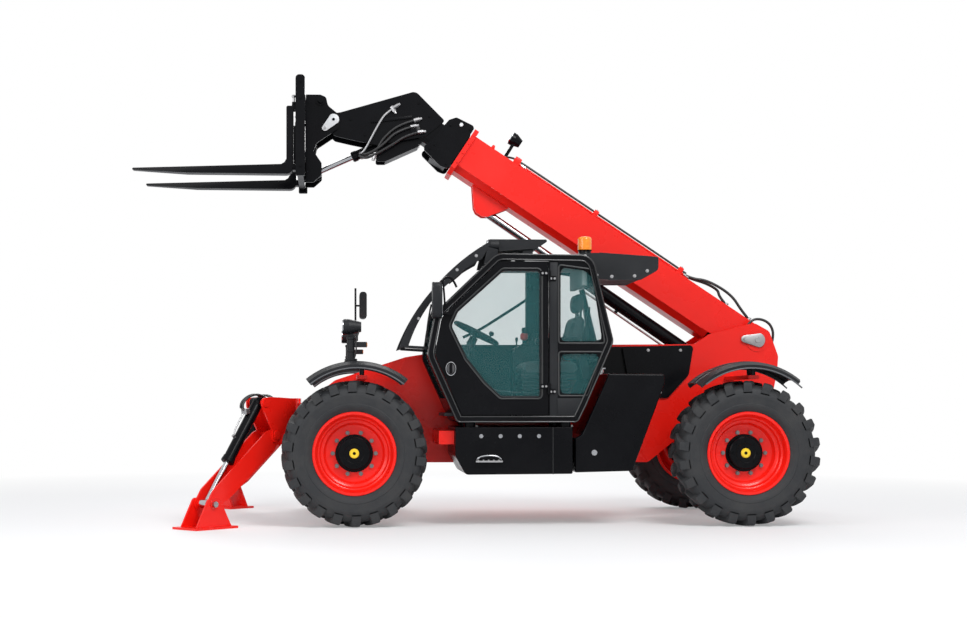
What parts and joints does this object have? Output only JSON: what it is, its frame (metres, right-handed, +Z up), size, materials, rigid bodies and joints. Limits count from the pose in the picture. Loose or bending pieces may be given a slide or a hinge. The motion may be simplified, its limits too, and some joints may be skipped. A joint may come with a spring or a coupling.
{
  "type": "telehandler",
  "caption": "Four-wheel-steered telescopic handler with a side cab, three-section lifting boom, fork carriage and front stabiliser legs.",
  "frame": {"origin": "ground under the middle of the machine's length and width", "axes": "+X forward along the forks, +Y to the driver's side, +Z up"},
  "size_m": [5.4282, 2.8984, 3.616],
  "materials": {
    "red_paint": "gloss",
    "black_paint": "satin",
    "dark_plastic": "matte",
    "tyre_rubber": "matte",
    "pane": "polished",
    "bright_rod": "polished",
    "seat_cloth": "woven",
    "amber": "gloss",
    "grey_iron": "cast",
    "steel_pin": "machined"
  },
  "bodies": {
    "chassis": {"chassis_frame": "red_paint", "boom_pin": "steel_pin", "front_axle": "black_paint", "rear_axle": "black_paint", "fenders": "dark_plastic", "lamp_masts": "dark_plastic", "cab_frame": "black_paint", "cab_glass": "pane", "seat_base": "dark_plastic", "seat_cushion": "seat_cloth", "seat_back": "seat_cloth", "cab_controls": "dark_plastic", "steering_wheel": "dark_plastic", "cab_guard": "dark_plastic", "beacon": "amber", "side_panel": "black_paint", "tank": "black_paint", "engine_housing": "red_paint", "engine_block": "grey_iron", "stabiliser_brackets": "red_paint", "side_cover": "black_paint"},
    "front_left_steering": {"front_left_knuckle": "black_paint"},
    "front_left_wheel": {"front_left_rim": "red_paint", "front_left_hub": "black_paint", "front_left_tyre": "tyre_rubber"},
    "front_right_steering": {"front_right_knuckle": "black_paint"},
    "front_right_wheel": {"front_right_rim": "red_paint", "front_right_hub": "black_paint", "front_right_tyre": "tyre_rubber"},
    "rear_left_steering": {"rear_left_knuckle": "black_paint"},
    "rear_left_wheel": {"rear_left_rim": "red_paint", "rear_left_hub": "black_paint", "rear_left_tyre": "tyre_rubber"},
    "rear_right_steering": {"rear_right_knuckle": "black_paint"},
    "rear_right_wheel": {"rear_right_rim": "red_paint", "rear_right_hub": "black_paint", "rear_right_tyre": "tyre_rubber"},
    "boom_outer": {"boom_outer": "red_paint", "boom_lamp": "black_paint"},
    "boom_mid": {"boom_mid": "black_paint"},
    "boom_inner": {"boom_inner": "black_paint", "boom_head": "black_paint"},
    "carriage": {"fork_carriage": "black_paint", "forks": "black_paint"},
    "lift_barrel": {"lift_barrel": "black_paint"},
    "lift_rod": {"lift_rod": "bright_rod"},
    "tilt_barrel": {"tilt_barrel": "black_paint"},
    "tilt_rod": {"tilt_rod": "bright_rod"},
    "cab_door": {"cab_door": "black_paint", "door_glass": "pane", "door_mirror": "dark_plastic"},
    "engine_hood": {"engine_hood": "red_paint"},
    "stabiliser_leg_left": {"stabiliser_leg_left": "red_paint"},
    "stabiliser_foot_left": {"stabiliser_foot_left": "red_paint"},
    "stabiliser_barrel_left": {"stabiliser_barrel_left": "black_paint"},
    "stabiliser_rod_left": {"stabiliser_rod_left": "bright_rod"},
    "stabiliser_leg_right": {"stabiliser_leg_right": "red_paint"},
    "stabiliser_foot_right": {"stabiliser_foot_right": "red_paint"},
    "stabiliser_barrel_right": {"stabiliser_barrel_right": "black_paint"},
    "stabiliser_rod_right": {"stabiliser_rod_right": "bright_rod"}
  },
  "joints": [
    {"name": "front_left_steer", "type": "hinge", "parent": "chassis", "child": "front_left_steering", "pos_m": [0.92, 0.88, 0.57], "axis": [0, 0, 1], "range_deg": [-27, 27]},
    {"name": "front_left_wheel_spin", "type": "hinge", "parent": "front_left_steering", "child": "front_left_wheel", "pos_m": [0.92, 1.01, 0.57], "axis": [0, 1, 0], "continuous": true},
    {"name": "front_right_steer", "type": "hinge", "parent": "chassis", "child": "front_right_steering", "pos_m": [0.92, -0.88, 0.57], "axis": [0, 0, 1], "range_deg": [-27, 27]},
    {"name": "front_right_wheel_spin", "type": "hinge", "parent": "front_right_steering", "child": "front_right_wheel", "pos_m": [0.92, -1.01, 0.57], "axis": [0, 1, 0], "continuous": true},
    {"name": "rear_left_steer", "type": "hinge", "parent": "chassis", "child": "rear_left_steering", "pos_m": [-2.15, 0.88, 0.57], "axis": [0, 0, 1], "range_deg": [-27, 27]},
    {"name": "rear_left_wheel_spin", "type": "hinge", "parent": "rear_left_steering", "child": "rear_left_wheel", "pos_m": [-2.15, 1.01, 0.57], "axis": [0, 1, 0], "continuous": true},
    {"name": "rear_right_steer", "type": "hinge", "parent": "chassis", "child": "rear_right_steering", "pos_m": [-2.15, -0.88, 0.57], "axis": [0, 0, 1], "range_deg": [-27, 27]},
    {"name": "rear_right_wheel_spin", "type": "hinge", "parent": "rear_right_steering", "child": "rear_right_wheel", "pos_m": [-2.15, -1.01, 0.57], "axis": [0, 1, 0], "continuous": true},
    {"name": "boom_lift", "type": "hinge", "parent": "chassis", "child": "boom_outer", "pos_m": [-2.448, 0, 1.485], "axis": [0, -1, 0], "range_deg": [-36.5, 35]},
    {"name": "boom_extend_mid", "type": "slide", "parent": "boom_outer", "child": "boom_mid", "axis": [0.8339, 0, 0.5519], "range_m": [0, 2.1]},
    {"name": "boom_extend_inner", "type": "slide", "parent": "boom_mid", "child": "boom_inner", "axis": [0.8339, 0, 0.5519], "range_m": [0, 2.1]},
    {"name": "carriage_tilt", "type": "hinge", "parent": "boom_inner", "child": "carriage", "pos_m": [1.083, 0, 3.322], "axis": [0, 1, 0], "range_deg": [-45, 40]},
    {"name": "lift_barrel_turn", "type": "hinge", "parent": "chassis", "child": "lift_barrel", "pos_m": [-2.258, 0, 1.17], "axis": [0, -1, 0], "range_deg": [-38, 37]},
    {"name": "lift_rod_slide", "type": "slide", "parent": "lift_barrel", "child": "lift_rod", "axis": [0.8256, 0, 0.5643], "range_m": [-0.24, 0.23]},
    {"name": "tilt_barrel_turn", "type": "hinge", "parent": "boom_inner", "child": "tilt_barrel", "pos_m": [0.41, 0, 3.263], "axis": [0, 1, 0], "range_deg": [-16, 15]},
    {"name": "tilt_rod_slide", "type": "slide", "parent": "tilt_barrel", "child": "tilt_rod", "axis": [0.9138, 0, -0.4062], "range_m": [-0.23, 0.26]},
    {"name": "cab_door_swing", "type": "hinge", "parent": "chassis", "child": "cab_door", "pos_m": [-0.589, 1.164, 1.51], "axis": [0, 0, 1], "range_deg": [0, 95]},
    {"name": "engine_hood_lift", "type": "hinge", "parent": "chassis", "child": "engine_hood", "pos_m": [-0.58, -0.314, 1.424], "axis": [-1, 0, 0], "range_deg": [0, 60]},
    {"name": "stabiliser_left_raise", "type": "hinge", "parent": "chassis", "child": "stabiliser_leg_left", "pos_m": [1.595, 0.735, 0.71], "axis": [0.7071, -0.7071, 0], "range_deg": [0, 70]},
    {"name": "stabiliser_left_foot_swivel", "type": "hinge", "parent": "stabiliser_leg_left", "child": "stabiliser_foot_left", "pos_m": [2.06169, 1.20169, 0.19], "axis": [0.7071, -0.7071, 0], "range_deg": [-25, 25]},
    {"name": "stabiliser_left_barrel_turn", "type": "hinge", "parent": "chassis", "child": "stabiliser_barrel_left", "pos_m": [1.67985, 0.81985, 0.965], "axis": [0.7071, -0.7071, 0], "range_deg": [-2, 75]},
    {"name": "stabiliser_left_rod_slide", "type": "slide", "parent": "stabiliser_barrel_left", "child": "stabiliser_rod_left", "axis": [0.4042, 0.4042, -0.8205], "range_m": [-0.33, 0.01]},
    {"name": "stabiliser_right_raise", "type": "hinge", "parent": "chassis", "child": "stabiliser_leg_right", "pos_m": [1.595, -0.735, 0.71], "axis": [-0.7071, -0.7071, 0], "range_deg": [0, 70]},
    {"name": "stabiliser_right_foot_swivel", "type": "hinge", "parent": "stabiliser_leg_right", "child": "stabiliser_foot_right", "pos_m": [2.06169, -1.20169, 0.19], "axis": [-0.7071, -0.7071, 0], "range_deg": [-25, 25]},
    {"name": "stabiliser_right_barrel_turn", "type": "hinge", "parent": "chassis", "child": "stabiliser_barrel_right", "pos_m": [1.67985, -0.81985, 0.965], "axis": [-0.7071, -0.7071, 0], "range_deg": [-2, 75]},
    {"name": "stabiliser_right_rod_slide", "type": "slide", "parent": "stabiliser_barrel_right", "child": "stabiliser_rod_right", "axis": [0.4042, -0.4042, -0.8205], "range_m": [-0.33, 0.01]}
  ],
  "couplings": [
    {"joint": "front_right_steer", "follows": "front_left_steer", "ratio": 1},
    {"joint": "rear_right_steer", "follows": "rear_left_steer", "ratio": 1},
    {"joint": "boom_extend_inner", "follows": "boom_extend_mid", "ratio": 1},
    {"joint": "lift_barrel_turn", "follows": "boom_lift", "ratio": 0.9978},
    {"joint": "lift_rod_slide", "follows": "boom_lift", "m_per_rad": 0.3444},
    {"joint": "tilt_barrel_turn", "follows": "carriage_tilt", "ratio": 0.3199},
    {"joint": "tilt_rod_slide", "follows": "carriage_tilt", "m_per_rad": -0.3088},
    {"joint": "stabiliser_left_barrel_turn", "follows": "stabiliser_left_raise", "ratio": 1.0375},
    {"joint": "stabiliser_left_rod_slide", "follows": "stabiliser_left_raise", "m_per_rad": -0.2631},
    {"joint": "stabiliser_right_barrel_turn", "follows": "stabiliser_right_raise", "ratio": 1.0375},
    {"joint": "stabiliser_right_rod_slide", "follows": "stabiliser_right_raise", "m_per_rad": -0.2631}
  ]
}
